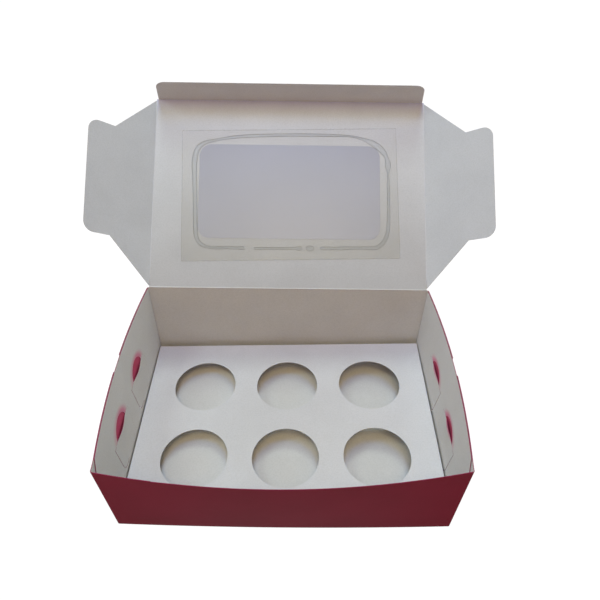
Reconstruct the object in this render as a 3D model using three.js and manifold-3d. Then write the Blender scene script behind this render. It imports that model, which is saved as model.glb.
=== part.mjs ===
// Windowed cupcake box of folded board, shown open, in millimetres.
// +X runs to the right along the front, +Y to the back and +Z up.
// The origin is the centre of the underside of the base.
import * as THREE from 'three';
import { mergeVertices } from 'three/addons/utils/BufferGeometryUtils.js';
import Module from 'manifold-3d';

// Board, film and the gaps that folded layers keep
const BOARD = 0.5;
const FILM = 0.25;
const LAYER_GAP = 0.15;
const SEAT_GAP = 0.3;
const EDGE_GAP = 0.6;
const CREASE_GAP = 0.3;

// Tray
const TRAY_LENGTH = 256;
const TRAY_DEPTH = 180;
const WALL_HEIGHT = 85.6;
const FRONT_LEAN = 4.3;
const FRONT_TWIST = 1.4;
const FRONT_BULGE = 12;
const INNER_BULGE = 5.8;
const OUTER_BULGE = 7;
const FRONT_FLAP_END = -9.7;
const BACK_FLAP_END = 8.5;
const CORNER_CUT_LENGTH = 9;
const CORNER_CUT_HEIGHT = 14;

// Tongues cut in the inner side walls
const TONGUE_PITCH = 62;
const TONGUE_MIDDLE = -2.5;
const TONGUE_TOP_WIDTH = 45;
const TONGUE_FOOT_WIDTH = 39;
const TONGUE_FOOT = 17;
const TONGUE_SHOULDER = 44;
const SLIT = 0.5;
const SLIT_RISE = 9;
const TONGUE_RISE = 6;

// Cupcake insert
const CUP_HOLE = 55;
const CUP_PITCH = 75;
const CUP_COLUMNS = 3;
const CUP_ROWS = 2;
const CUP_SHIFT = -0.85;
const PLATFORM_SIDE_GAP = 2.1;
const PLATFORM_BACK_GAP = 5.8;
const PLATFORM_FRONT_GAP = 0.9;
const PLATFORM_LOW = 12.9;
const PLATFORM_HIGH = 21.2;
const LEG_LENGTH = 20.2;
const LEG_WIDTH = 146;

// Lid and its flaps
const LID_OPEN = 139;
const CLOSED_GAP = 0.5;
const HINGE_GAP = 0.5;
const LID_FRONT_CLEARANCE = 1;
const FLAP_CLEARANCE = 0.25;
const WINDOW_LENGTH = 168;
const WINDOW_DEPTH = 90.4;
const WINDOW_RADIUS = 8;
const WINDOW_FROM_HINGE = 46;
const FILM_LENGTH = 200;
const FILM_DEPTH = 124;
const FILM_FROM_HINGE = 26.6;
const FILM_SHIFT = 0.6;
const FILM_TURN = 1.4;
const SIDE_FLAP_REACH = 64;
const SIDE_FLAP_NECK = 41;
const SIDE_FLAP_TAB = 98;
const SIDE_FLAP_RADIUS = 9.5;
const SIDE_FLAP_NOTCH = 1.5;
const LEFT_FOLD = 48;
const RIGHT_FOLD = 42;
const TUCK_REACH = 28;
const TUCK_TAPER = 3.3;
const TUCK_NOTCH = 1.6;
const TUCK_RADIUS = 7;
const TUCK_FOLD = 86;

// Fineness of the curved walls and of round outlines
const WALL_COLUMNS = 14;
const WALL_ROWS = 4;
const ARC_STEPS = 8;
const HOLE_STEPS = 24;

// Places worked out from the sizes above
const outerHalf = TRAY_LENGTH / 2;
const depthHalf = TRAY_DEPTH / 2;
const innerWallOuterFace = outerHalf - BOARD - LAYER_GAP;
const innerWallFace = innerWallOuterFace - BOARD;
const lidHalf = innerWallFace - BOARD - FLAP_CLEARANCE;
const lidLength = TRAY_DEPTH - LID_FRONT_CLEARANCE;
const hingeHeight = WALL_HEIGHT + CLOSED_GAP;
const tongueCentres = [-1, 1].map((way) => TONGUE_MIDDLE + (way * TONGUE_PITCH) / 2);

const outside = new THREE.MeshStandardMaterial({ color: 0x6a2434, roughness: 0.42, metalness: 0 });
const inside = new THREE.MeshStandardMaterial({ color: 0xc6c6c4, roughness: 0.75, metalness: 0 });
const clearFilm = new THREE.MeshStandardMaterial({
  color: 0xd8d8dc, roughness: 0.12, metalness: 0, transparent: true, opacity: 0.4,
});

const wasm = await Module();
wasm.setup();

// Solids and closed meshes
function solidOf(geometry) {
  const plain = geometry.index ? geometry.clone() : geometry;
  plain.deleteAttribute('normal');
  plain.deleteAttribute('uv');
  const merged = mergeVertices(plain, 1e-4);
  const mesh = new wasm.Mesh({
    numProp: 3,
    vertProperties: new Float32Array(merged.attributes.position.array),
    triVerts: new Uint32Array(merged.index.array),
  });
  return new wasm.Manifold(mesh);
}

function geometryOf(solid) {
  const mesh = solid.getMesh();
  const geometry = new THREE.BufferGeometry();
  geometry.setAttribute('position', new THREE.BufferAttribute(mesh.vertProperties, 3));
  geometry.setIndex(new THREE.BufferAttribute(mesh.triVerts, 1));
  geometry.computeVertexNormals();
  return geometry;
}

function joined(solids) {
  return solids.reduce((whole, piece) => whole.add(piece));
}

function named(name, geometry, material) {
  const mesh = new THREE.Mesh(geometry, material.clone());
  mesh.name = name;
  return mesh;
}

function block(low, high) {
  const size = high.map((value, axis) => value - low[axis]);
  const geometry = new THREE.BoxGeometry(...size);
  geometry.translate(...low.map((value, axis) => value + size[axis] / 2));
  return geometry;
}

// A closed curved sheet between two faces, each a point for u and v from 0 to 1.
// The near face is the one that u and v turn anticlockwise on, seen from outside.
function sheet(near, far) {
  const positions = [];
  for (const face of [near, far]) {
    for (let j = 0; j <= WALL_ROWS; j += 1) {
      for (let i = 0; i <= WALL_COLUMNS; i += 1) {
        positions.push(...face(i / WALL_COLUMNS, j / WALL_ROWS));
      }
    }
  }
  const stride = WALL_COLUMNS + 1;
  const layer = stride * (WALL_ROWS + 1);
  const index = [];
  const quad = (a, b, c, d) => index.push(a, b, c, a, c, d);
  for (let j = 0; j < WALL_ROWS; j += 1) {
    for (let i = 0; i < WALL_COLUMNS; i += 1) {
      const a = j * stride + i;
      quad(a, a + 1, a + 1 + stride, a + stride);
      quad(layer + a, layer + a + stride, layer + a + 1 + stride, layer + a + 1);
    }
  }
  for (let i = 0; i < WALL_COLUMNS; i += 1) {
    const top = WALL_ROWS * stride + i;
    quad(i + 1, i, layer + i, layer + i + 1);
    quad(top, top + 1, layer + top + 1, layer + top);
  }
  for (let j = 0; j < WALL_ROWS; j += 1) {
    const left = j * stride;
    const right = left + WALL_COLUMNS;
    quad(left, left + stride, layer + left + stride, layer + left);
    quad(right + stride, right, layer + right, layer + right + stride);
  }
  const geometry = new THREE.BufferGeometry();
  geometry.setAttribute('position', new THREE.Float32BufferAttribute(positions, 3));
  geometry.setIndex(index);
  return geometry;
}

// A flat outline in plan, raised from z = 0 to the given thickness
function plate(shape, thickness) {
  return new THREE.ExtrudeGeometry(shape, {
    depth: thickness, bevelEnabled: false, curveSegments: ARC_STEPS,
  });
}

// A flat outline in Y and Z, driven through the wall from one X to another
function sideCutter(points, fromX, toX) {
  const shape = new THREE.Shape(points.map(([y, z]) => new THREE.Vector2(y, z)));
  const geometry = new THREE.ExtrudeGeometry(shape, { depth: toX - fromX, bevelEnabled: false });
  geometry.applyMatrix4(new THREE.Matrix4().set(
    0, 0, 1, fromX,
    1, 0, 0, 0,
    0, 1, 0, 0,
    0, 0, 0, 1,
  ));
  return solidOf(geometry);
}

// Full at the middle of a wall and nothing at its ends
function bow(along) {
  return Math.max(0, 1 - along * along);
}

// How far the front wall's rim leans out at a place across it, before its bulge
function frontLean(across) {
  return FRONT_LEAN - FRONT_TWIST * across;
}

// Tray: base, four walls, tongues and the corner flaps, folded from one sheet
function basePlate() {
  return solidOf(block(
    [-innerWallOuterFace, -depthHalf, 0],
    [innerWallOuterFace, depthHalf, BOARD],
  ));
}

function backWall() {
  return solidOf(block(
    [-outerHalf, depthHalf - BOARD, 0],
    [outerHalf, depthHalf, WALL_HEIGHT],
  ));
}

function frontWall() {
  const face = (inset) => (u, v) => {
    const x = outerHalf * (2 * u - 1);
    const reach = frontLean(2 * u - 1) + FRONT_BULGE * bow(2 * u - 1);
    const rise = Math.sqrt(WALL_HEIGHT ** 2 - reach ** 2);
    return [x, -depthHalf - reach * v + inset, rise * v];
  };
  return solidOf(sheet(face(0), face(BOARD)));
}

function sideSheet(side, innerFace, bulge, frontAt, backAt, foot) {
  const face = (start) => (u, v) => {
    const z = foot + (WALL_HEIGHT - foot) * v;
    const y = frontAt(z) + (backAt(z) - frontAt(z)) * u;
    const x = start + bulge * (z / WALL_HEIGHT) * bow(y / depthHalf);
    return [side * x, y, z];
  };
  const [near, far] = [face(innerFace + BOARD), face(innerFace)];
  return solidOf(side > 0 ? sheet(near, far) : sheet(far, near));
}

function tonguePoints(centre) {
  const half = TONGUE_TOP_WIDTH / 2;
  const footHalf = TONGUE_FOOT_WIDTH / 2;
  const arch = (reach, rise, way) => Array.from({ length: ARC_STEPS + 1 }, (_, step) => {
    const along = way * (1 - (2 * step) / ARC_STEPS);
    return [centre + reach * along, TONGUE_SHOULDER + rise * bow(along)];
  });
  return [
    [centre + footHalf, TONGUE_FOOT],
    ...arch(half, SLIT_RISE, 1),
    [centre - footHalf, TONGUE_FOOT],
    [centre - footHalf + SLIT, TONGUE_FOOT],
    ...arch(half - SLIT, TONGUE_RISE - SLIT, -1),
    [centre + footHalf - SLIT, TONGUE_FOOT],
  ];
}

function innerSideWall(side) {
  const front = (z) => -depthHalf - frontLean(side) * (z / WALL_HEIGHT) + BOARD + EDGE_GAP;
  const back = () => depthHalf - BOARD - EDGE_GAP;
  const reachX = innerWallFace + INNER_BULGE + 2 * BOARD;
  const [fromX, toX] = side > 0 ? [innerWallFace - BOARD, reachX] : [-reachX, BOARD - innerWallFace];
  const corner = front(WALL_HEIGHT);
  const cornerCut = [
    [corner - EDGE_GAP, WALL_HEIGHT - CORNER_CUT_HEIGHT],
    [corner + CORNER_CUT_LENGTH, WALL_HEIGHT + BOARD],
    [corner - EDGE_GAP, WALL_HEIGHT + BOARD],
  ];
  let wall = sideSheet(side, innerWallFace, INNER_BULGE, front, back, 0);
  for (const outline of [cornerCut, ...tongueCentres.map(tonguePoints)]) {
    wall = wall.subtract(sideCutter(outline, fromX, toX));
  }
  return wall;
}

function cornerFlaps(side) {
  const innerFace = outerHalf - BOARD;
  const front = (z) => -depthHalf - frontLean(side) * (z / WALL_HEIGHT);
  return [
    sideSheet(side, innerFace, OUTER_BULGE, front, () => FRONT_FLAP_END, SEAT_GAP),
    sideSheet(side, innerFace, OUTER_BULGE, () => BACK_FLAP_END, () => depthHalf, SEAT_GAP),
  ];
}

function tray() {
  const sides = [-1, 1].flatMap((side) => [innerSideWall(side), ...cornerFlaps(side)]);
  const whole = joined([basePlate(), backWall(), frontWall(), ...sides]);
  return named('tray', geometryOf(whole), outside);
}

// Insert: a platform with a round hole for each cupcake, on two folded legs
function platformShape(halfLength, front, back) {
  const shape = new THREE.Shape([
    new THREE.Vector2(-halfLength, front),
    new THREE.Vector2(halfLength, front),
    new THREE.Vector2(halfLength, back),
    new THREE.Vector2(-halfLength, back),
  ]);
  const middle = (front + back) / 2;
  for (let row = 0; row < CUP_ROWS; row += 1) {
    for (let column = 0; column < CUP_COLUMNS; column += 1) {
      const x = CUP_PITCH * (column - (CUP_COLUMNS - 1) / 2);
      const y = middle + CUP_SHIFT + CUP_PITCH * (row - (CUP_ROWS - 1) / 2);
      const hole = new THREE.Path();
      hole.absarc(x, y, CUP_HOLE / 2, 0, 2 * Math.PI, true);
      shape.holes.push(hole);
    }
  }
  return shape;
}

function leg(side, edge, middle, lean) {
  const geometry = block(
    [-BOARD, middle - LEG_WIDTH / 2, -LEG_LENGTH],
    [0, middle + LEG_WIDTH / 2, BOARD],
  );
  if (side < 0) geometry.translate(BOARD, 0, 0);
  geometry.rotateY(side * lean);
  geometry.translate(side * edge, 0, 0);
  return solidOf(geometry);
}

function insert() {
  const halfLength = innerWallFace - PLATFORM_SIDE_GAP;
  const front = -depthHalf + PLATFORM_FRONT_GAP;
  const back = depthHalf - PLATFORM_BACK_GAP;
  const tilt = Math.asin((PLATFORM_HIGH - PLATFORM_LOW) / (2 * halfLength));
  const foot = BOARD + SEAT_GAP;
  const platform = solidOf(new THREE.ExtrudeGeometry(platformShape(halfLength, front, back), {
    depth: BOARD, bevelEnabled: false, curveSegments: HOLE_STEPS,
  }));
  // Each leg leans in until its end stands just clear of the base
  const drop = (height) => Math.acos(Math.min(1, (height - foot) / LEG_LENGTH));
  const middle = (front + back) / 2;
  const low = leg(-1, halfLength, middle, drop(PLATFORM_LOW) + tilt);
  const high = leg(1, halfLength, middle, drop(PLATFORM_HIGH) - tilt);
  const mesh = named('cupcake_insert', geometryOf(joined([platform, low, high])), inside);
  mesh.position.z = (PLATFORM_LOW + PLATFORM_HIGH) / 2;
  mesh.rotation.y = -tilt;
  return mesh;
}

// Lid, drawn closed with its inner face at z = 0 and its hinge along X
function roundedHole(length, depth, radius, fromHinge) {
  const [left, right, near, far] = [-length / 2, length / 2, -fromHinge, -fromHinge - depth];
  const path = new THREE.Path();
  path.moveTo(left + radius, far);
  path.lineTo(right - radius, far);
  path.absarc(right - radius, far + radius, radius, -Math.PI / 2, 0, false);
  path.lineTo(right, near - radius);
  path.absarc(right - radius, near - radius, radius, 0, Math.PI / 2, false);
  path.lineTo(left + radius, near);
  path.absarc(left + radius, near - radius, radius, Math.PI / 2, Math.PI, false);
  path.lineTo(left, far + radius);
  path.absarc(left + radius, far + radius, radius, Math.PI, 1.5 * Math.PI, false);
  return path;
}

function lidPanel() {
  const half = lidHalf - CREASE_GAP / 2;
  const free = -lidLength + CREASE_GAP / 2;
  const shape = new THREE.Shape([
    new THREE.Vector2(-half, free),
    new THREE.Vector2(half, free),
    new THREE.Vector2(half, -HINGE_GAP),
    new THREE.Vector2(-half, -HINGE_GAP),
  ]);
  shape.holes.push(roundedHole(WINDOW_LENGTH, WINDOW_DEPTH, WINDOW_RADIUS, WINDOW_FROM_HINGE));
  return named('lid_panel', plate(shape, BOARD), outside);
}

function windowFilm() {
  const mesh = named('window_film', new THREE.BoxGeometry(FILM_LENGTH, FILM_DEPTH, FILM), clearFilm);
  mesh.position.set(FILM_SHIFT, -FILM_FROM_HINGE - FILM_DEPTH / 2, -SEAT_GAP - FILM / 2);
  mesh.rotation.z = THREE.MathUtils.degToRad(-FILM_TURN);
  return mesh;
}

function sideFlap(side, name, fold) {
  const middle = -lidLength / 2;
  const crease = lidLength / 2 - SIDE_FLAP_NOTCH;
  const tab = SIDE_FLAP_TAB / 2;
  const corner = SIDE_FLAP_REACH - SIDE_FLAP_RADIUS;
  const shape = new THREE.Shape();
  shape.moveTo(CREASE_GAP / 2, middle - crease);
  shape.lineTo(SIDE_FLAP_NECK, middle - tab);
  shape.lineTo(corner, middle - tab);
  shape.absarc(corner, middle - tab + SIDE_FLAP_RADIUS, SIDE_FLAP_RADIUS, -Math.PI / 2, 0, false);
  shape.lineTo(SIDE_FLAP_REACH, middle + tab - SIDE_FLAP_RADIUS);
  shape.absarc(corner, middle + tab - SIDE_FLAP_RADIUS, SIDE_FLAP_RADIUS, 0, Math.PI / 2, false);
  shape.lineTo(SIDE_FLAP_NECK, middle + tab);
  shape.lineTo(CREASE_GAP / 2, middle + crease);
  const geometry = plate(shape, BOARD);
  if (side < 0) {
    geometry.translate(0, -2 * middle, 0);
    geometry.rotateZ(Math.PI);
  }
  const mesh = named(name, geometry, inside);
  mesh.position.x = side * lidHalf;
  mesh.rotation.y = side * THREE.MathUtils.degToRad(fold);
  return mesh;
}

function tuckFlap() {
  const root = lidHalf - TUCK_NOTCH;
  const end = root - TUCK_TAPER;
  const corner = TUCK_REACH - TUCK_RADIUS;
  const shape = new THREE.Shape();
  shape.moveTo(root, -CREASE_GAP / 2);
  shape.lineTo(-root, -CREASE_GAP / 2);
  shape.lineTo(-end, -corner);
  shape.absarc(-end + TUCK_RADIUS, -corner, TUCK_RADIUS, Math.PI, 1.5 * Math.PI, false);
  shape.lineTo(end - TUCK_RADIUS, -TUCK_REACH);
  shape.absarc(end - TUCK_RADIUS, -corner, TUCK_RADIUS, -Math.PI / 2, 0, false);
  const mesh = named('front_tuck_flap', plate(shape, BOARD), inside);
  mesh.position.y = -lidLength;
  mesh.rotation.x = THREE.MathUtils.degToRad(TUCK_FOLD);
  return mesh;
}

function lid() {
  const group = new THREE.Group();
  group.add(
    lidPanel(),
    windowFilm(),
    sideFlap(-1, 'left_side_flap', LEFT_FOLD),
    sideFlap(1, 'right_side_flap', RIGHT_FOLD),
    tuckFlap(),
  );
  group.position.set(0, depthHalf, hingeHeight);
  group.rotation.x = -THREE.MathUtils.degToRad(LID_OPEN);
  return group;
}

const box = new THREE.Group();
box.add(tray(), insert(), lid());

export default box;
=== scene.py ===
"""Windowed cupcake box of folded board, dressed for the render. Metres, Z up, front towards -Y."""

import math

import bmesh
import bpy
from mathutils import Matrix, Vector


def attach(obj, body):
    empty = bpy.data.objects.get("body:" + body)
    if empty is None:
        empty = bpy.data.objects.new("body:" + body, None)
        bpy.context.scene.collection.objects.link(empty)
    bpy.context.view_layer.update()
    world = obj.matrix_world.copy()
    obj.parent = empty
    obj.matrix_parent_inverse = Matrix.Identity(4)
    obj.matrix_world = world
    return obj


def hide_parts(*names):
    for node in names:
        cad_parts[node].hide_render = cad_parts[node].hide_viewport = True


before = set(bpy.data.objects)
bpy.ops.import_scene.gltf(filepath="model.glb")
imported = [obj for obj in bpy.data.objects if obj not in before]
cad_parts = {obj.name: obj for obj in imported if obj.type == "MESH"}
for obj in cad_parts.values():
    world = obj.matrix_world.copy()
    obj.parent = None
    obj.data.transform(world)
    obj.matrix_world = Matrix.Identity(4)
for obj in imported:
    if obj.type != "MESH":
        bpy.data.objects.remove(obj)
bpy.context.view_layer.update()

# Sizes of the folded sheet, in millimetres
MM = 0.001
BOARD = 0.5
OUTER_HALF = 128.0
DEPTH_HALF = 90.0
WALL = 85.6
FRONT_LEAN = 4.3
FRONT_TWIST = 1.4
FRONT_BULGE = 12.0
INNER_BULGE = 5.8
OUTER_BULGE = 5.9
BULGE_RISE = 1.4
FOOT_BULGE = 2.0
FOOT_ROUND = 1.8
FOOT_LIFT = 0.05
CORNER_ROUND = 0.9
NICK = -87.0
NICK_LENGTH = 16.0
NICK_DEPTH = 0.6
LAYER_GAP = 0.15
EDGE_GAP = 0.6
FRONT_FLAP_END = -9.7
BACK_FLAP_END = 8.5
CORNER_CUT = (9.0, 14.0)
INNER_FACE = OUTER_HALF - 2 * BOARD - LAYER_GAP
SIDE_WORD = {-1: "left", 1: "right"}

# Tongues cut in the inner side walls, each standing open at the middle of its tip
TONGUE_CENTRES = (23.6, -34.9)
TONGUE_TIP = 48.3
TONGUE_HALF = 21.3
TONGUE_FOOT_HALF = 19.4
TONGUE_FOOT = 16.0
TONGUE_CORNER = 8.0
TONGUE_FOOT_CUT = 7.0
TONGUE_LIFT = 1.3
FRONT_CUT = 0.45
HAIR_CUT = 0.06
TIP_BRIDGE = 0.4
MOUTH_HALF = 13.3
MOUTH_RISE = {-1: 11.2, 1: 7.8}
TIP_RISE = {-1: 0.0, 1: 3.2}
BACKING_MARGIN = 3.0
BACKING_GAP = 0.03
BACKING_THICKNESS = 0.08

# Insert
PLATFORM_HALF = 126.3
PLATFORM_FRONT = -89.1
PLATFORM_BACK = 84.2
PLATFORM_MIDDLE_HEIGHT = 17.05
PLATFORM_RISE = 8.3
PLATFORM_TILT = math.asin(PLATFORM_RISE / (2 * PLATFORM_HALF))
PLATFORM_LIP = 0.6
FOLD_ROUND = 0.5
CUP_RADIUS = 27.5
CUP_PITCH = 75.0
CUP_MIDDLE = -3.3
LEG = 20.2
LEG_HALF_WIDTH = 73.0
LEG_TAPER = 2.0
LEG_CLEARANCE = 0.3

# Lid
LID_OPEN = math.radians(139)
HINGE_HEIGHT = 86.1
HINGE_GAP = 0.5
CREASE = 0.3
FOLD_BAND = 1.0
LID_HALF = 126.1
LID_LENGTH = 179.0
WINDOW = (168.0, 89.4)
WINDOW_RADIUS = 11.0
WINDOW_FROM_HINGE = 46.0
FILM = (200.0, 124.0)
FILM_THICKNESS = 0.25
FILM_GAP = 0.3
FILM_MIDDLE = (0.6, 88.6)
FILM_TURN = math.radians(1.4)
PANE_DEPTH = 0.2
PANE_THICKNESS = 0.1
SIDE_FOLD = {-1: math.radians(48), 1: math.radians(42)}
SIDE_REACH = 65.4
SIDE_NECK = 41.0
SIDE_TAB_HALF = 49.0
SIDE_RADIUS = 9.5
SIDE_NOTCH = 1.5
TUCK_FOLD = math.radians(86)
TUCK_REACH = 28.0
TUCK_ROOT = 124.5
TUCK_TAPER = 2.2
TUCK_RADIUS = 9.5

# Painted light and shade on the white board: distances in mm along the lid from its hinge, and back along
# the insert
LID_PAINTED_SHADE_REACH = 145.0
LID_PAINTED_BOUNCE_START = 163.0
LID_PAINTED_COOL_SHADE_START = 160.0
LID_PAINTED_COOL_SHADE_REACH = 15.0
INSERT_PAINTED_BOUNCE_START = 66.0
INSERT_PAINTED_BOUNCE_REACH = 18.0


def linear(red, green, blue):
    """A colour written as it looks on screen, from 0 to 255."""

    def one(value):
        value /= 255
        return value / 12.92 if value <= 0.04045 else ((value + 0.055) / 1.055) ** 2.4

    return (one(red), one(green), one(blue), 1.0)


# Materials
def new_material(name, roughness, specular=0.5):
    material = bpy.data.materials.new(name)
    material.use_nodes = True
    tree = material.node_tree
    shader = tree.nodes["Principled BSDF"]
    shader.inputs["Roughness"].default_value = roughness
    shader.inputs["Specular IOR Level"].default_value = specular
    return material, tree, shader


def noise(tree, scale, detail=4.0):
    place = tree.nodes.new("ShaderNodeTexCoord")
    texture = tree.nodes.new("ShaderNodeTexNoise")
    texture.inputs["Scale"].default_value = scale
    texture.inputs["Detail"].default_value = detail
    tree.links.new(place.outputs["Object"], texture.inputs["Vector"])
    return texture.outputs["Fac"]


def two_tone(tree, factor, dark, light, low=0.35, high=0.65):
    ramp = tree.nodes.new("ShaderNodeValToRGB")
    ramp.color_ramp.elements[0].position = low
    ramp.color_ramp.elements[0].color = dark
    ramp.color_ramp.elements[1].position = high
    ramp.color_ramp.elements[1].color = light
    tree.links.new(factor, ramp.inputs["Fac"])
    return ramp.outputs["Color"]


def bump(tree, shader, height, strength, distance):
    node = tree.nodes.new("ShaderNodeBump")
    node.inputs["Strength"].default_value = strength
    node.inputs["Distance"].default_value = distance
    tree.links.new(height, node.inputs["Height"])
    tree.links.new(node.outputs["Normal"], shader.inputs["Normal"])


def mixed(tree, factor, first, second, kind="MIX"):
    node = tree.nodes.new("ShaderNodeMix")
    node.data_type = "RGBA"
    node.blend_type = kind
    if isinstance(factor, float):
        node.inputs[0].default_value = factor
    else:
        tree.links.new(factor, node.inputs[0])
    for value, socket in ((first, node.inputs[6]), (second, node.inputs[7])):
        if isinstance(value, tuple):
            socket.default_value = value
        else:
            tree.links.new(value, socket)
    return node.outputs[2]


def spread_to(tree, socket, factor, low, high):
    """Drives a socket from low to high as the factor goes from 0 to 1."""
    spread = tree.nodes.new("ShaderNodeMapRange")
    spread.inputs["To Min"].default_value = low
    spread.inputs["To Max"].default_value = high
    tree.links.new(factor, spread.inputs["Value"])
    tree.links.new(spread.outputs["Result"], socket)


def painted_light_mask(tree, name):
    """How strongly a sheet carries the named painted light or shade at each place, none where it has none.
    """
    node = tree.nodes.new("ShaderNodeAttribute")
    node.attribute_name = name
    return node.outputs["Fac"]


def white_board(name, dark, light):
    """Uncoated board: faint clouding, fine fibres, and the painted light and shade that its sheet asks for:
    pink bounce light, shade and cooler shade.
    """
    material, tree, shader = new_material(name, 0.8, 0.1)
    clouds = two_tone(tree, noise(tree, 28.0, 5.0), dark, light)
    fibres = noise(tree, 900.0, 6.0)
    speckle = two_tone(tree, fibres, linear(247, 247, 246), linear(255, 255, 255), 0.3, 0.6)
    colour = mixed(tree, 1.0, clouds, speckle, "MULTIPLY")
    # Painted light and shade: pink bounce light from the print, then darker shade, then cooler shade, each
    # as strong as the sheet's attribute
    colour = mixed(tree, painted_light_mask(tree, "glow"), colour, PAINTED_PINK_BOUNCE)
    colour = mixed(tree, painted_light_mask(tree, "shade"), colour, PAINTED_SHADE, "MULTIPLY")
    colour = mixed(tree, painted_light_mask(tree, "crease_painted_cool_shade"), colour, PAINTED_COOL_SHADE, "MULTIPLY")
    tree.links.new(colour, shader.inputs["Base Color"])
    spread_to(tree, shader.inputs["Roughness"], fibres, 0.72, 0.86)
    bump(tree, shader, fibres, 0.06, 0.0003)
    return material


def printed_board(name, dark, light):
    """Burgundy print under a satin laminate."""
    material, tree, shader = new_material(name, 0.45, 0.02)
    clouds = two_tone(tree, noise(tree, 18.0, 4.0), dark, light)
    tree.links.new(clouds, shader.inputs["Base Color"])
    grain = noise(tree, 1600.0, 3.0)
    spread_to(tree, shader.inputs["Roughness"], grain, 0.4, 0.55)
    bump(tree, shader, grain, 0.06, 0.0003)
    return material


def plain(name, colour, shade, roughness, specular=0.3):
    material, tree, shader = new_material(name, roughness, specular)
    tone = two_tone(tree, noise(tree, 300.0, 3.0), shade, colour)
    tree.links.new(tone, shader.inputs["Base Color"])
    return material


def film(name, colour, alpha, roughness, painted_shade_alpha=None):
    """Clear film or dried glue; the last argument, if given, is its alpha where the sheet's painted shade
    is full, so the film is drawn darker there.
    """
    material, tree, shader = new_material(name, roughness, 0.4)
    shade = tuple(0.97 * c for c in colour[:3]) + (1.0,)
    tone = two_tone(tree, noise(tree, 16.0, 2.0), shade, colour)
    tree.links.new(tone, shader.inputs["Base Color"])
    shader.inputs["Alpha"].default_value = alpha
    # Painted shade: where the sheet asks, the film is more opaque and so darker
    if painted_shade_alpha is not None:
        spread_to(tree, shader.inputs["Alpha"], painted_light_mask(tree, "painted_film_shade"), alpha, painted_shade_alpha)
    return material


# Painted light and shade for the white board: pink bounce light from the print, a darker shade, and a
# cooler, darker shade
PAINTED_PINK_BOUNCE = linear(214, 96, 138)
PAINTED_SHADE = linear(221, 219, 217)
PAINTED_COOL_SHADE = linear(226, 234, 253)
# The walls' white board, and copies of it with painted light and shade: lighter on the base and lid, darker
# on the side flaps, darker and warmer on the tuck flap
INSIDE = white_board("white_inside", linear(212, 210, 207), linear(217, 215, 212))
BASE_INSIDE_PAINTED_LIGHTER = white_board("base_inside_painted_lighter", linear(216, 214, 211), linear(221, 219, 216))
LID_INSIDE_PAINTED_LIGHTER = white_board("lid_inside_painted_lighter", linear(225, 227, 228), linear(230, 232, 233))
FLAP_INSIDE_PAINTED_SHADE = white_board("flap_inside_painted_shade", linear(205, 207, 208), linear(210, 212, 213))
TUCK_INSIDE_PAINTED_SHADE = white_board("tuck_inside_painted_warm_shade", linear(218, 209, 201), linear(223, 214, 206))
INSERT = white_board("insert_white", linear(214, 213, 214), linear(219, 218, 219))
PRINT = printed_board("burgundy_print", linear(130, 17, 44), linear(137, 20, 49))
# A lighter copy of the print for the mouth backings: painted magenta bounce light
MOUTH_PAINTED_BOUNCE = printed_board("painted_magenta_bounce_in_the_tongue_mouths", linear(188, 74, 104), linear(200, 84, 114))
# Cut edge of the printed board, lighter and pinker than the print: the edge's own colour with a painted rim
# highlight
PRINT_EDGE_WITH_PAINTED_HIGHLIGHT = plain("printed_edge_with_painted_highlight", linear(150, 46, 84), linear(136, 40, 74), 0.7)
CUT_EDGE = plain("cut_edge", linear(172, 166, 162), linear(160, 152, 148), 0.8)
CREASE_WHITE = plain("crease_white", linear(216, 217, 219), linear(210, 211, 213), 0.7)
FILM_MARGIN = film("film_on_board", linear(196, 192, 174), 0.01, 0.3, painted_shade_alpha=0.1)
FILM_RIM = film("film_rim", linear(172, 166, 154), 0.1, 0.5)
# Film in the window, drawn nearly opaque grey: painted shade for the shaded table seen through the clear
# film
FILM_PANE_PAINTED_SHADE = film("film_in_window_painted_shade", linear(190, 192, 204), 0.92, 0.35)
GLUE = film("dried_glue", linear(210, 210, 198), 0.025, 0.4)
GLUE_RIM = film("glue_rim", linear(172, 172, 148), 0.055, 0.5)


# Sheets
def arc(centre_x, centre_y, radius, start, stop, steps=8):
    """Points of a round corner, angles in degrees."""
    angles = (math.radians(start + (stop - start) * k / steps) for k in range(steps + 1))
    return [(centre_x + radius * math.cos(a), centre_y + radius * math.sin(a)) for a in angles]


def rounded(left, low, right, high, radius):
    """A rectangle with round corners."""
    return (
        arc(left + radius, low + radius, radius, 180, 270)
        + arc(right - radius, low + radius, radius, 270, 360)
        + arc(right - radius, high - radius, radius, 0, 90)
        + arc(left + radius, high - radius, radius, 90, 180)
    )


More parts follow.
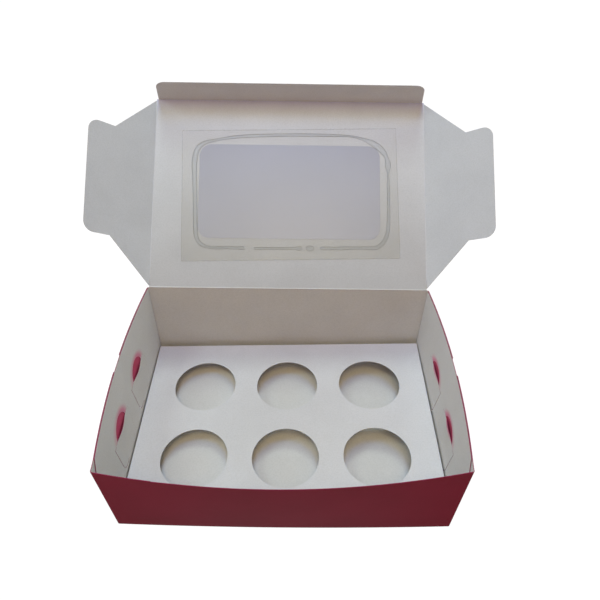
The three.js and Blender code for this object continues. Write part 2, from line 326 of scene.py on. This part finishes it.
def flat_cells(outline, holes, cell, folds=(), levels=()):
    """The outline with its holes as a flat mesh, cut into cells and at extra places in u and v."""
    curve = bpy.data.curves.new("outline", "CURVE")
    curve.dimensions = "2D"
    curve.fill_mode = "BOTH"
    for loop in [outline, *holes]:
        spline = curve.splines.new("POLY")
        spline.points.add(len(loop) - 1)
        for point, (u, v) in zip(spline.points, loop):
            point.co = (u, v, 0.0, 1.0)
        spline.use_cyclic_u = True
    holder = bpy.data.objects.new("outline", curve)
    flat = bpy.data.meshes.new_from_object(holder)
    cells = bmesh.new()
    cells.from_mesh(flat)
    bpy.data.objects.remove(holder)
    bpy.data.curves.remove(curve)
    bpy.data.meshes.remove(flat)
    bmesh.ops.remove_doubles(cells, verts=cells.verts, dist=1e-4)
    us = [u for u, _ in outline]
    vs = [v for _, v in outline]
    for axis, low, high, extra in ((0, min(us), max(us), folds), (1, min(vs), max(vs), levels)):
        count = max(1, round((high - low) / cell))
        lines = [low + (high - low) * k / count for k in range(1, count)] + list(extra)
        for at in lines:
            point = [0.0, 0.0, 0.0]
            normal = [0.0, 0.0, 0.0]
            point[axis] = at
            normal[axis] = 1.0
            geometry = cells.verts[:] + cells.edges[:] + cells.faces[:]
            bmesh.ops.bisect_plane(cells, geom=geometry, dist=1e-5, plane_co=point, plane_no=normal)
    return cells


def riding(name, body, mesh, skins):
    """A piece of the mesh in its skins, moving with a body."""
    for skin in skins:
        mesh.materials.append(skin)
    piece = bpy.data.objects.new(name, mesh)
    bpy.context.scene.collection.objects.link(piece)
    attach(piece, body)
    return piece


def sheet(
    name, body, outline, place, holes=(), cell=6.0, skins=None, thickness=BOARD,
    folds=(), levels=(), marks=None, folded=None,
):
    """A sheet of even thickness: place(u, v, w) gives its points in mm, w = 0 on the inside face.

    marks gives, by name, how strongly each painted light or shade lies on the sheet at (u, v), from 0 to 1.
    folded(u, v) tells where the sheet's edge is a fold, which carries the print over it.
    """
    cells = flat_cells(outline, holes, cell, folds, levels)
    cells.verts.index_update()
    flat = [(v.co.x, v.co.y) for v in cells.verts]
    count = len(flat)
    made = bmesh.new()
    for w in (0.0, thickness):
        for u, v in flat:
            made.verts.new(Vector(place(u, v, w)) * MM)
    made.verts.ensure_lookup_table()
    made.verts.index_update()
    for face in cells.faces:
        ring = [v.index for v in face.verts]
        made.faces.new([made.verts[i] for i in ring]).material_index = 0
        made.faces.new([made.verts[i + count] for i in reversed(ring)]).material_index = 1
    for edge in cells.edges:
        if len(edge.link_faces) == 1:
            a, b = (v.index for v in edge.verts)
            ring = [made.verts[i] for i in (a, b, b + count, a + count)]
            on_fold = folded and all(folded(*flat[i]) for i in (a, b))
            made.faces.new(ring).material_index = 1 if on_fold else 2
    cells.free()
    bmesh.ops.recalc_face_normals(made, faces=made.faces)
    for face in made.faces:
        face.smooth = len(face.verts) != 4 or len({v.index < count for v in face.verts}) == 1
    for edge in made.edges:
        edge.smooth = edge.calc_face_angle(0.0) < math.radians(50)
    mesh = bpy.data.meshes.new(name)
    made.to_mesh(mesh)
    made.free()
    for label, strength in (marks or {}).items():
        layer = mesh.attributes.new(label, "FLOAT", "POINT")
        layer.data.foreach_set("value", [strength(u, v) for u, v in flat] * 2)
    return riding(name, body, mesh, skins or (INSIDE, PRINT, PRINT_EDGE_WITH_PAINTED_HIGHLIGHT))


def bow(along):
    """The share of a wall's bulge along it, from 0 at its ends, at -1 and 1, to 1 at its middle."""
    return max(0.0, 1 - along * along)


def front_lean(across):
    """How far the front wall's rim leans out, a little more at its left end."""
    return FRONT_LEAN - FRONT_TWIST * across


def bent(s, w, angle, radius=FOLD_ROUND):
    """A sheet that runs along s and folds by an angle at s = 0, w measured from the hollow side."""
    length = radius * angle
    turn = min(max(s, 0.0), length) / radius
    ahead = (radius + w) * math.sin(turn)
    rise = radius - (radius + w) * math.cos(turn)
    straight = s if s < 0 else max(0.0, s - length)
    return (ahead + straight * math.cos(turn), rise + straight * math.sin(turn))


def wrapped(path, u, v, w, round_by=CORNER_ROUND):
    """A point of an upright sheet whose outer face follows path(u, v), its corners rounded."""
    spots = [path(u + round_by * k / 3, v) for k in range(-3, 4)]
    x, y, z = (sum(spot[i] for spot in spots) / len(spots) for i in (0, 1, 2))
    along = Vector((spots[-1][0] - spots[0][0], spots[-1][1] - spots[0][1])).normalized()
    depth = BOARD - w
    return (x - along.y * depth, y + along.x * depth, z)


# Tray
def base():
    half = OUTER_HALF - BOARD - LAYER_GAP
    front = [(half * a / 10, -DEPTH_HALF + BOARD - FOOT_BULGE * bow(a / 10)) for a in range(-10, 11)]
    outline = front + [(half, DEPTH_HALF - BOARD), (-half, DEPTH_HALF - BOARD)]
    skins = (BASE_INSIDE_PAINTED_LIGHTER, PRINT, PRINT_EDGE_WITH_PAINTED_HIGHLIGHT)
    return sheet("tray_base", "tray", outline, lambda x, y, w: (x, y, BOARD - w), cell=12, skins=skins)


def corner_cells():
    """Extra cuts at the two rounded corners of a wrap."""
    return [side * (OUTER_HALF + CORNER_ROUND * k / 3) for side in (-1, 1) for k in range(-4, 5)]


def foot_cells():
    """Extra cuts along the rounded foot of a wrap."""
    return [FOOT_ROUND * k / 4 for k in range(1, 5)]


def tucked_under(height):
    """How far an outer wall's rounded foot curves in at a height above the table."""
    return FOOT_ROUND - math.sqrt(FOOT_ROUND**2 - max(0.0, FOOT_ROUND - height) ** 2)


def outer_side(y, height):
    """How far out an outer side wall stands."""
    bulge = OUTER_BULGE * (height / WALL) ** BULGE_RISE * bow(y / DEPTH_HALF)
    return OUTER_HALF + bulge - tucked_under(height)


def wrap(name, outline, path):
    """A wall with its two corner flaps, from one sheet."""

    def place(u, v, w):
        return wrapped(path, u, v, w)

    return sheet(name, "tray", outline, place, folds=corner_cells(), levels=foot_cells())


def front_wrap():
    """The front wall with its two corner flaps, folded back along the sides."""
    flap = DEPTH_HALF + FRONT_FLAP_END

    def path(u, v):
        share = v / WALL
        across = max(-1.0, min(1.0, u / OUTER_HALF))
        side = 1 if u > 0 else -1
        reach = front_lean(across) + FRONT_BULGE * bow(across)
        foot = FOOT_BULGE * bow(across) * (1 - share)
        z = FOOT_LIFT + share * (math.sqrt(WALL**2 - reach**2) - FOOT_LIFT)
        beyond = abs(u) - OUTER_HALF
        if beyond <= 0:
            return (u, -DEPTH_HALF - reach * share - foot + tucked_under(v), z)
        y = -DEPTH_HALF - reach * share + beyond * (1 + reach * share / flap)
        return (side * outer_side(y, v), y, z)

    end = OUTER_HALF + flap
    nick = [(NICK + NICK_LENGTH, WALL), (NICK + NICK_DEPTH / 2, WALL - NICK_DEPTH), (NICK, WALL)]
    outline = [(-end, 0), (end, 0), (end, WALL), *nick, (-end, WALL)]
    return wrap("front_wrap", outline, path)


def back_wrap():
    """The back wall with its two corner flaps, folded forward along the sides."""
    flap = DEPTH_HALF - BACK_FLAP_END

    def path(u, v):
        side = 1 if u > 0 else -1
        beyond = abs(u) - OUTER_HALF
        if beyond <= 0:
            return (-u, DEPTH_HALF - tucked_under(v), FOOT_LIFT + v)
        y = DEPTH_HALF - beyond
        return (-side * outer_side(y, v), y, FOOT_LIFT + v)

    end = OUTER_HALF + flap
    outline = [(-end, 0), (end, 0), (end, WALL), (-end, WALL)]
    return wrap("back_wrap", outline, path)


def side_point(side, face, bulge, y, z):
    return (side * (face + bulge * (z / WALL) ** BULGE_RISE * bow(y / DEPTH_HALF)), y, z)


def tongue_cut(centre, side):
    """The cut round a tongue: fine but for the mouth, which is open between its tip and an arch."""

    def arm(way, inset):
        foot = TONGUE_FOOT_HALF - TONGUE_CORNER
        turn = arc(foot, TONGUE_FOOT + TONGUE_CORNER, TONGUE_CORNER - inset, -90, 0)
        end = (TONGUE_HALF - inset, TONGUE_TIP - TIP_BRIDGE - inset)
        points = [(TONGUE_FOOT_CUT, TONGUE_FOOT + inset), *turn, end]
        return [(centre + way * y, z) for y, z in points]

    steps = 20
    alongs = [1 - 2 * k / steps for k in range(steps + 1)]
    rise = MOUTH_RISE[side]
    arch = [(centre + MOUTH_HALF * a, TONGUE_TIP + HAIR_CUT + rise * bow(a) ** 0.6) for a in alongs]
    tip = [(centre - MOUTH_HALF * a, TONGUE_TIP - HAIR_CUT + TIP_RISE[side] * bow(a)) for a in alongs]
    outer = arm(1, -HAIR_CUT / 2) + arch + arm(-1, -FRONT_CUT / 2)[::-1]
    return outer + arm(-1, FRONT_CUT / 2) + tip + arm(1, HAIR_CUT / 2)[::-1]


def tongue_lift(side, y, z):
    """How far the board is pushed inwards on a tongue, growing from its foot to its free tip."""
    for centre in TONGUE_CENTRES:
        off = (y - centre) / MOUTH_HALF
        if TONGUE_FOOT < z < TONGUE_TIP + (TIP_RISE[side] + 0.1) * bow(off) and abs(off) < 1:
            share = (z - TONGUE_FOOT) / (TONGUE_TIP - TONGUE_FOOT)
            return TONGUE_LIFT * share**2 * bow(off) ** 1.5
    return 0.0


def painted_mouth_bounce(side, y, z):
    """Painted pink bounce light from the print on the white board just over the arch of a mouth, strongest
    at the back.
    """
    reach, fade = 1.4, 0.36
    best = 0.0
    for centre in TONGUE_CENTRES:
        across = (y - centre) / (MOUTH_HALF + 1)
        out = math.hypot(across, (z - TONGUE_TIP) / (MOUTH_RISE[side] + 0.5))
        if z > TONGUE_TIP and out < reach:
            near = min(1.0, (reach - out) / fade)
            best = max(best, near * (0.35 + 0.4 * max(0.0, min(1.0, across + 0.5))))
    return best


def inner_wall(side):
    lean = front_lean(side)
    back = DEPTH_HALF - BOARD - EDGE_GAP
    foot_front = -DEPTH_HALF + BOARD + EDGE_GAP
    top_front = foot_front - lean
    cut_low = WALL - CORNER_CUT[1]
    cut_front = foot_front - lean * cut_low / WALL
    corner = [(top_front + CORNER_CUT[0], WALL), (cut_front, cut_low)]
    outline = [(foot_front, 0), (back, 0), (back, WALL), *corner]

    def place(y, z, w):
        return side_point(side, INNER_FACE + w - tongue_lift(side, y, z), INNER_BULGE, y, z)

    cuts = [tongue_cut(centre, side) for centre in TONGUE_CENTRES]
    # Painted pink bounce light from the print over each mouth's arch
    marks = {"glow": lambda y, z: painted_mouth_bounce(side, y, z)}
    return sheet(SIDE_WORD[side] + "_inner_wall", "tray", outline, place, cuts, cell=2.2, marks=marks)


def mouth_backings(side):
    """A lighter copy of the print in the two mouths of a side wall, a little larger than they are: painted
    magenta bounce light.
    """

    def place(y, z, w):
        return side_point(side, INNER_FACE + BOARD + BACKING_GAP + w, INNER_BULGE, y, z)

    pieces = []
    for centre, spot in zip(TONGUE_CENTRES, ("back", "front")):
        alongs = [a / 10 for a in range(10, -11, -1)]
        half = MOUTH_HALF + BACKING_MARGIN
        rise = MOUTH_RISE[side] + 2 * BACKING_MARGIN
        arch = [(centre + half * a, TONGUE_TIP - BACKING_MARGIN + rise * bow(a)) for a in alongs]
        name = f"{SIDE_WORD[side]}_{spot}_mouth_backing"
        skins = (MOUTH_PAINTED_BOUNCE, MOUTH_PAINTED_BOUNCE, MOUTH_PAINTED_BOUNCE)
        pieces.append(sheet(name, "tray", arch, place, (), 3.0, skins, BACKING_THICKNESS))
    return pieces


def tray():
    pieces = [base(), back_wrap(), front_wrap()]
    for side in (-1, 1):
        pieces += [inner_wall(side), *mouth_backings(side)]
    for piece in pieces:
        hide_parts("tray")


# Insert
def insert():
    cos, sin = math.cos(PLATFORM_TILT), math.sin(PLATFORM_TILT)
    start = PLATFORM_HALF - FOLD_ROUND - BOARD
    low_edge = PLATFORM_MIDDLE_HEIGHT - PLATFORM_RISE / 2
    slant = math.acos((low_edge - BOARD - LEG_CLEARANCE) / LEG)
    fold = {-1: math.pi / 2 + slant - PLATFORM_TILT, 1: math.pi / 2 + PLATFORM_TILT}

    def place(u, y, w):
        side = 1 if u > 0 else -1
        ahead, rise = bent(abs(u) - start, BOARD - w, fold[side])
        x, z = side * (start + ahead), -rise
        return (x * cos - z * sin, y, PLATFORM_MIDDLE_HEIGHT + x * sin + z * cos)

    middle = (PLATFORM_FRONT + PLATFORM_BACK) / 2
    low, high = middle - LEG_HALF_WIDTH, middle + LEG_HALF_WIDTH
    edge = start + PLATFORM_LIP
    reach = start + LEG
    outline = [
        (-edge, PLATFORM_FRONT), (edge, PLATFORM_FRONT), (edge, low), (reach, low + LEG_TAPER),
        (reach, high - LEG_TAPER), (edge, high), (edge, PLATFORM_BACK), (-edge, PLATFORM_BACK),
        (-edge, high), (-reach, high - LEG_TAPER), (-reach, low + LEG_TAPER), (-edge, low),
    ]
    holes = [
        arc(CUP_PITCH * column, CUP_MIDDLE + CUP_PITCH * row, CUP_RADIUS, 0, 360, 72)[:-1]
        for column in (-1, 0, 1)
        for row in (-0.5, 0.5)
    ]
    folds = [side * (start + FOLD_ROUND * fold[side] * k / 5) for side in (-1, 1) for k in range(6)]
    skins = (INSERT, INSERT, INSERT)
    # Painted pink bounce light on the platform, growing towards its back edge by the back wall
    marks = {"glow": lambda u, y: 0.05 * max(0.0, (y - INSERT_PAINTED_BOUNCE_START) / INSERT_PAINTED_BOUNCE_REACH)}
    piece = sheet("insert_sheet", "tray", outline, place, holes, 8.0, skins, folds=folds, marks=marks)
    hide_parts("cupcake_insert")


# Lid
def lid_point(x, s, h):
    """A place on the open lid: x across, s from the hinge and h out from its inner face."""
    cos, sin = math.cos(LID_OPEN), math.sin(LID_OPEN)
    return (x, DEPTH_HALF - s * cos + h * sin, HINGE_HEIGHT + s * sin + h * cos)


def window_outline():
    far = WINDOW_FROM_HINGE + WINDOW[1]
    return rounded(-WINDOW[0] / 2, WINDOW_FROM_HINGE, WINDOW[0] / 2, far, WINDOW_RADIUS)


def lid_panel():
    half = LID_HALF - CREASE / 2
    end = LID_LENGTH - CREASE / 2
    outline = [(-half, HINGE_GAP), (half, HINGE_GAP), (half, end), (-half, end)]

    def folded(x, s):
        return abs(x) > half - FOLD_BAND or s < FOLD_BAND or s > LID_LENGTH - FOLD_BAND

    skins = (LID_INSIDE_PAINTED_LIGHTER, PRINT, LID_INSIDE_PAINTED_LIGHTER)
    # Painted light and shade on the lid: darker towards the hinge, pink bounce light and cooler, darker
    # shade by the tuck crease
    marks = {
        "shade": lambda x, s: max(0.0, 1 - s / LID_PAINTED_SHADE_REACH),
        "glow": lambda x, s: 0.18 * max(0.0, (s - LID_PAINTED_BOUNCE_START) / (LID_LENGTH - LID_PAINTED_BOUNCE_START)) ** 1.5,
        "crease_painted_cool_shade": lambda x, s: min(1.0, max(0.0, (s - LID_PAINTED_COOL_SHADE_START) / LID_PAINTED_COOL_SHADE_REACH)),
    }
    holes = [window_outline()]
    piece = sheet("lid_board", "lid", outline, lid_point, holes, 6.0, skins, marks=marks, folded=folded)
    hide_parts("lid_panel")


def side_flap(side):
    middle = LID_LENGTH / 2
    crease = middle - SIDE_NOTCH
    corner = SIDE_REACH - SIDE_RADIUS
    low, high = middle - SIDE_TAB_HALF, middle + SIDE_TAB_HALF
    outline = [(CREASE / 2, middle - crease), (SIDE_NECK, low)]
    outline += arc(corner, low + SIDE_RADIUS, SIDE_RADIUS, -90, 0)
    outline += arc(corner, high - SIDE_RADIUS, SIDE_RADIUS, 0, 90)
    outline += [(SIDE_NECK, high), (CREASE / 2, middle + crease)]
    cos, sin = math.cos(SIDE_FOLD[side]), math.sin(SIDE_FOLD[side])

    def place(reach, s, h):
        return lid_point(side * (LID_HALF + reach * cos + h * sin), s, -reach * sin + h * cos)

    def folded(reach, s):
        return reach < FOLD_BAND

    word = SIDE_WORD[side]
    skins = (FLAP_INSIDE_PAINTED_SHADE, PRINT, CUT_EDGE)
    piece = sheet(word + "_flap_board", word + "_flap", outline, place, skins=skins, folded=folded)
    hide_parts(word + "_side_flap")


def tuck_flap():
    end = TUCK_ROOT - TUCK_TAPER
    corner = TUCK_REACH - TUCK_RADIUS
    outline = [(TUCK_ROOT, CREASE / 2)]
    outline += arc(end - TUCK_RADIUS, corner, TUCK_RADIUS, 0, 90)
    outline += arc(-end + TUCK_RADIUS, corner, TUCK_RADIUS, 90, 180)
    outline += [(-TUCK_ROOT, CREASE / 2)]
    cos, sin = math.cos(TUCK_FOLD), math.sin(TUCK_FOLD)

    def place(x, reach, h):
        return lid_point(x, LID_LENGTH + reach * cos + h * sin, -reach * sin + h * cos)

    def folded(x, reach):
        return reach < FOLD_BAND

    skins = (TUCK_INSIDE_PAINTED_SHADE, PRINT, CUT_EDGE)
    piece = sheet("tuck_flap_board", "front_flap", outline, place, skins=skins, folded=folded)
    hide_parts("front_tuck_flap")


def window_film():
    cos, sin = math.cos(FILM_TURN), math.sin(FILM_TURN)

    def on_lid(u, v):
        return (FILM_MIDDLE[0] + u * cos - v * sin, FILM_MIDDLE[1] + u * sin + v * cos)

    def place(u, v, w):
        return lid_point(*on_lid(u, v), -FILM_GAP - FILM_THICKNESS + w)

    def place_pane(x, s, w):
        return lid_point(x, s, w - PANE_DEPTH)

    half_u, half_v = FILM[0] / 2, FILM[1] / 2
    outline = [(-half_u, -half_v), (half_u, -half_v), (half_u, half_v), (-half_u, half_v)]
    skins = (FILM_MARGIN, FILM_MARGIN, FILM_MARGIN)
    # Painted shade: the film is drawn more opaque, so darker, towards the hinge
    marks = {"painted_film_shade": lambda u, v: 0.5 - v / FILM[1]}
    piece = sheet("film_sheet", "lid", outline, place, (), 8.0, skins, FILM_THICKNESS, marks=marks)
    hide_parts("window_film")

    # The window's pane: nearly opaque grey, painted shade for the view through the film
    skins = (FILM_PANE_PAINTED_SHADE, FILM_PANE_PAINTED_SHADE, FILM_PANE_PAINTED_SHADE)
    pane = sheet("film_pane_painted_shade", "lid", window_outline(), place_pane, (), 8.0, skins, PANE_THICKNESS)

    rim = []
    for (u, v), (next_u, next_v) in zip(outline, outline[1:] + outline[:1]):
        rim += [on_lid(u + (next_u - u) * k / 8, v + (next_v - v) * k / 8) for k in range(8)]
    strip("film_rim", "lid", rim, 0.5, 0.1, FILM_GAP, FILM_RIM, closed=True)


def strip(name, body, points, width, height, lift, material, closed=False, outer=None):
    """A low rounded bead along points on the lid's inner face, its far side of another skin if given."""
    made = bmesh.new()
    rings = []
    count = len(points)
    for k, (x, s) in enumerate(points):
        before = points[k - 1] if k or closed else points[k]
        after = points[(k + 1) % count] if k < count - 1 or closed else points[k]
        along = Vector((after[0] - before[0], after[1] - before[1])).normalized()
        across = Vector((-along.y, along.x))
        size = width[k] if isinstance(width, list) else width
        ring = []
        for step in range(8):
            turn = 2 * math.pi * step / 8
            out = across * (size / 2 * math.cos(turn))
            rise = -lift - height / 2 - height / 2 * math.sin(turn)
            ring.append(made.verts.new(Vector(lid_point(x + out.x, s + out.y, rise)) * MM))
        rings.append(ring)
    pairs = list(zip(rings, rings[1:])) + ([(rings[-1], rings[0])] if closed else [])
    for first, second in pairs:
        for k in range(8):
            face = made.faces.new([first[k], first[(k + 1) % 8], second[(k + 1) % 8], second[k]])
            face.material_index = 1 if outer and k >= 4 else 0
    if not closed:
        made.faces.new(rings[0][::-1])
        made.faces.new(rings[-1])
    bmesh.ops.recalc_face_normals(made, faces=made.faces)
    for face in made.faces:
        face.smooth = True
    mesh = bpy.data.meshes.new(name)
    made.to_mesh(mesh)
    made.free()
    return riding(name, body, mesh, (material, outer) if outer else (material,))


def smooth_path(points, steps=6):
    """A Catmull-Rom curve through the points."""

    def between(p, q, r, s, t):
        bend = (2 * p - 5 * q + 4 * r - s) * t * t + (3 * q - p - 3 * r + s) * t**3
        return 0.5 * (2 * q + (r - p) * t + bend)

    whole = [points[0], *points, points[-1]]
    path = []
    for a, b, c, d in zip(whole, whole[1:], whole[2:], whole[3:]):
        for k in range(steps):
            path.append(tuple(between(*values, k / steps) for values in zip(a, b, c, d)))
    path.append(points[-1])
    return path


# Beads of glue round the window, in mm across the lid and from its hinge, with their widths
GLUE_RING = [
    (-41, 37, 3.6), (-46, 37, 2.2), (-52, 37, 2.7), (-57, 37.2, 2.0), (-63, 37, 2.6), (-71, 37, 2.2),
    (-79.5, 39.5, 3), (-84.5, 46, 3.3), (-86, 56, 3.4), (-87, 81, 3.6), (-88.2, 103, 3.8),
    (-88.8, 118, 4.6), (-86.5, 130, 4.2), (-80, 136.5, 3.2), (-68, 139.8, 2), (-47, 143.2, 2.8),
    (-8, 145.2, 2.6), (30, 145.6, 2.4), (56, 145, 1.6), (68, 142.2, 2.2), (77, 138.5, 5),
    (85.5, 132, 5.4), (90.6, 124, 3), (91.6, 117, 5.4), (91.8, 109, 1.4), (91.8, 98, 2.4), (92, 84, 2.2),
    (91.7, 62, 2.8), (90.8, 53, 3), (87, 44, 3.2), (80, 38.6, 3.2), (70, 38.4, 2.6), (58, 38.2, 2.4),
    (48, 37.8, 3.2), (42, 37.6, 2.2), (36, 37.6, 3), (29, 37.6, 2.8),
]
GLUE_DASH = [
    (-31.5, 36.8, 2.2), (-20, 36.9, 2), (0, 37.1, 2), (6, 37.2, 2.2), (9.5, 37.3, 4.2), (12, 37.3, 2.4),
]
GLUE_DROP = [(16, 37.3, 1.5), (17.5, 37.3, 4.2), (19.5, 37.3, 5.2), (21.5, 37.3, 4.2), (23, 37.3, 1.5)]


def glue():
    for name, marks in (("glue_ring", GLUE_RING), ("glue_dash", GLUE_DASH), ("glue_drop", GLUE_DROP)):
        path = smooth_path(marks)
        middle = [(x, s) for x, s, _ in path]
        widths = [width for _, _, width in path]
        strip(name, "lid", middle, widths, 0.06, 0.1, GLUE)
        rim = []
        for k, (x, s, width) in enumerate(path):
            before, after = path[max(0, k - 1)], path[min(len(path) - 1, k + 1)]
            along = Vector((after[0] - before[0], after[1] - before[1])).normalized()
            out = Vector((-along.y, along.x)) * (width / 2)
            rim.append(((x + out.x, s + out.y), (x - out.x, s - out.y)))
        outline = [a for a, _ in rim] + [b for _, b in reversed(rim)]
        line = strip(name + "_rim", "lid", outline, 0.45, 0.12, 0.12, GLUE_RIM, closed=True)


# Creases: the thin rounded ridge of board along each fold of the lid
def creases():
    steps = [k / 20 for k in range(21)]
    for side, word in SIDE_WORD.items():
        points = [(side * LID_HALF, SIDE_NOTCH + (LID_LENGTH - 2 * SIDE_NOTCH) * k) for k in steps]
        strip(word + "_crease", "lid", points, 1.2, 0.5, -0.36, CREASE_WHITE, outer=PRINT)
    points = [(TUCK_ROOT * (2 * k - 1), LID_LENGTH) for k in steps]
    strip("tuck_crease", "lid", points, 0.6, 0.6, -0.32, INSIDE, outer=PRINT)
    points = [(LID_HALF * (2 * k - 1), 0.0) for k in steps]
    strip("lid_crease", "tray", points, 1.2, 0.9, -0.45, INSIDE, outer=PRINT)


# Stage
ROOM_COLOUR = (1.0, 0.52, 0.07, 1.0)
ROOM_STRENGTH = 0.214
FLOOR_HALF = 6.0
FLOOR_DEPTH = 0.0002
FLOOR_GLOW = 1.08
FLOOR_GLOW_SHARE = 0.95


def seen_directly(tree):
    """One where the camera, a reflection or a view through film meets the surface."""
    paths = tree.nodes.new("ShaderNodeLightPath")
    total = paths.outputs["Is Camera Ray"]
    for name in ("Is Glossy Ray", "Is Transmission Ray"):
        step = tree.nodes.new("ShaderNodeMath")
        step.operation = "MAXIMUM"
        tree.links.new(total, step.inputs[0])
        tree.links.new(paths.outputs[name], step.inputs[1])
        total = step.outputs[0]
    return total


def room():
    """A dim warm room that is seen as plain white."""
    world = bpy.data.worlds.new("soft_room")
    bpy.context.scene.world = world
    world.use_nodes = True
    tree = world.node_tree
    seen = seen_directly(tree)
    dim = tree.nodes["Background"]
    dim.inputs["Color"].default_value = ROOM_COLOUR
    dim.inputs["Strength"].default_value = ROOM_STRENGTH
    white = tree.nodes.new("ShaderNodeBackground")
    white.inputs["Color"].default_value = (1.0, 1.0, 1.0, 1.0)
    white.inputs["Strength"].default_value = 1.0
    mix = tree.nodes.new("ShaderNodeMixShader")
    tree.links.new(seen, mix.inputs[0])
    tree.links.new(dim.outputs[0], mix.inputs[1])
    tree.links.new(white.outputs[0], mix.inputs[2])
    tree.links.new(mix.outputs[0], tree.nodes["World Output"].inputs["Surface"])


def floor():
    """The white table, which glows where it is seen and still takes the box's shadow."""
    mesh = bpy.data.meshes.new("floor")
    corners = [(-1, -1), (1, -1), (1, 1), (-1, 1)]
    mesh.from_pydata([(FLOOR_HALF * x, FLOOR_HALF * y, 0) for x, y in corners], [], [(0, 1, 2, 3)])
    table = bpy.data.objects.new("floor", mesh)
    table.location.z = -FLOOR_DEPTH
    bpy.context.scene.collection.objects.link(table)
    material, tree, shader = new_material("floor_white", 0.9)
    shader.inputs["Base Color"].default_value = (0.4, 0.4, 0.4, 1.0)
    share = tree.nodes.new("ShaderNodeMath")
    share.operation = "MULTIPLY"
    share.inputs[1].default_value = FLOOR_GLOW_SHARE
    tree.links.new(seen_directly(tree), share.inputs[0])
    glow = tree.nodes.new("ShaderNodeEmission")
    glow.inputs["Strength"].default_value = FLOOR_GLOW
    mix = tree.nodes.new("ShaderNodeMixShader")
    tree.links.new(share.outputs[0], mix.inputs[0])
    tree.links.new(shader.outputs[0], mix.inputs[1])
    tree.links.new(glow.outputs[0], mix.inputs[2])
    tree.links.new(mix.outputs[0], tree.nodes["Material Output"].inputs["Surface"])
    mesh.materials.append(material)


def lamp(name, place, aim, size, power, colour):
    data = bpy.data.lights.new(name, "AREA")
    data.shape = "DISK"
    data.size = size
    data.energy = power
    data.color = colour
    light = bpy.data.objects.new(name, data)
    light.location = place
    light.rotation_euler = (Vector(aim) - Vector(place)).to_track_quat("-Z", "Y").to_euler()
    bpy.context.scene.collection.objects.link(light)


# Lamps round the object: place in metres, disc width, and power for red, green and blue
LAMPS = {
    "top_lamp": ((0.0, 0.05, 1.8), 0.6, (1.3, 3.4, 8.1)),
    "top_front_lamp": ((0.0, -0.75, 1.6), 0.6, (7.4, 6.0, 3.4)),
    "top_back_lamp": ((0.0, 0.75, 1.6), 0.6, (6.4, 7.7, 7.3)),
    "top_left_lamp": ((-0.9, -0.1, 1.4), 0.6, (3.4, 4.3, 4.4)),
    "front_lamp": ((0.0, -1.7, 0.8), 1.0, (0.0, 0.1, 1.6)),
    "left_lamp": ((-1.7, -0.2, 0.5), 1.0, (4.3, 4.8, 6.0)),
    "right_lamp": ((1.7, -0.2, 0.5), 1.0, (5.0, 6.4, 7.2)),
}
LAMP_AIM = (0.0, 0.03, 0.08)


def lamps():
    for name, (place, size, powers) in LAMPS.items():
        strongest = max(powers)
        lamp(name, place, LAMP_AIM, size, strongest, [power / strongest for power in powers])


# Camera at the photograph's viewing angle, its place in millimetres and its angles in radians
CAMERA_PLACE = (6.8628, -289.5631, 419.0616)
CAMERA_YAW = 0.0107
CAMERA_PITCH = 0.7403
CAMERA_ROLL = 0.0187
FOCAL_PIXELS = 555.58
FRAME_PIXELS = 600
SENSOR = 36.0


def camera():
    yaw, pitch, roll = CAMERA_YAW, CAMERA_PITCH, CAMERA_ROLL
    forward = Vector((math.sin(yaw) * math.cos(pitch), math.cos(yaw) * math.cos(pitch), -math.sin(pitch)))
    level = Vector((math.cos(yaw), -math.sin(yaw), 0.0))
    upright = level.cross(forward)
    right = level * math.cos(roll) + upright * math.sin(roll)
    up = upright * math.cos(roll) - level * math.sin(roll)
    data = bpy.data.cameras.new("camera")
    data.sensor_width = SENSOR
    data.lens = SENSOR * FOCAL_PIXELS / FRAME_PIXELS
    data.clip_start = 0.01
    eye = bpy.data.objects.new("camera", data)
    turn = Matrix((right, up, -forward)).transposed().to_4x4()
    eye.matrix_world = Matrix.Translation(Vector(CAMERA_PLACE) * MM) @ turn
    bpy.context.scene.collection.objects.link(eye)
    bpy.context.scene.camera = eye


camera()
tray()
insert()
lid_panel()
side_flap(-1)
side_flap(1)
tuck_flap()
window_film()
glue()
creases()
room()
floor()
lamps()
bpy.context.scene.view_settings.view_transform = "Standard"
